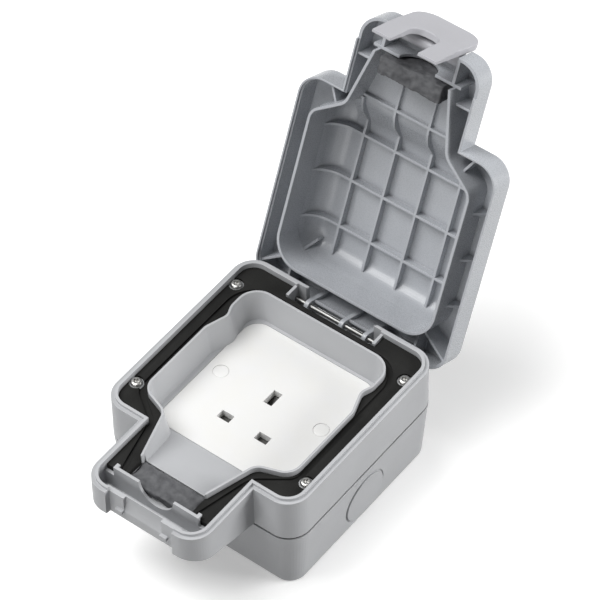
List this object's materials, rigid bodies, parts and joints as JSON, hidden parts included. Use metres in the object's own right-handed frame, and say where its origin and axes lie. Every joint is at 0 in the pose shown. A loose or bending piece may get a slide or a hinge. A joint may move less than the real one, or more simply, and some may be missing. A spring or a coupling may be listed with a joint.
{
  "type": "outdoor weatherproof socket",
  "caption": "Surface-mounted outdoor mains socket for a three-pin plug, with a deep hinged lid, sealing lip, rubber cable pads and a hooked latch at the cable outlet.",
  "frame": {"origin": "centre of the back box's wall face", "axes": "+Z out of the wall, +Y towards the hinge, the cable tongue along -Y"},
  "size_m": [0.114, 0.2444, 0.2009],
  "materials": {
    "housing_grey": "fine moulded texture",
    "lid_grey": "fine moulded texture",
    "latch_light": "fine moulded texture",
    "socket_white": "smooth",
    "inner_white": "plain",
    "seal_rubber": "matt",
    "pad_rubber": "matt",
    "stainless": "bright",
    "zinc_steel": "plated",
    "brass": "bright"
  },
  "bodies": {
    "housing": {"back_box": "housing_grey", "front_frame": "housing_grey", "socket_plate": "socket_white", "screw_cap_left": "socket_white", "screw_cap_right": "socket_white", "socket_base": "inner_white", "box_seal": "seal_rubber", "lid_seal": "seal_rubber", "lower_cable_pad": "pad_rubber", "cover_screw_1": "stainless", "cover_screw_2": "stainless", "cover_screw_3": "stainless", "cover_screw_4": "stainless", "hinge_pin": "stainless", "plate_screw_left": "zinc_steel", "plate_screw_right": "zinc_steel", "base_screw_left": "zinc_steel", "base_screw_right": "zinc_steel", "live_terminal_screw": "zinc_steel", "neutral_terminal_screw": "zinc_steel", "earth_terminal_screw": "zinc_steel", "shutter_spring": "zinc_steel", "live_contact": "brass", "neutral_contact": "brass", "earth_contact": "brass"},
    "lid": {"lid": "lid_grey", "upper_cable_pad": "pad_rubber", "latch_pin": "stainless"},
    "latch": {"latch": "latch_light"},
    "shutter": {"shutter": "inner_white"}
  },
  "joints": [
    {"name": "lid_hinge", "type": "hinge", "parent": "housing", "child": "lid", "pos_m": [0, 0.0525, 0.0554], "axis": [1, 0, 0], "range_deg": [0, 113]},
    {"name": "latch_hinge", "type": "hinge", "parent": "lid", "child": "latch", "pos_m": [0, 0.12594, 0.18338], "axis": [-1, 0, 0], "range_deg": [-4, 15]},
    {"name": "shutter_slide", "type": "slide", "parent": "housing", "child": "shutter", "axis": [0, 1, 0], "range_m": [0, 0.0056], "stiffness_N_per_m": 60, "deforming": ["shutter_spring"]}
  ]
}
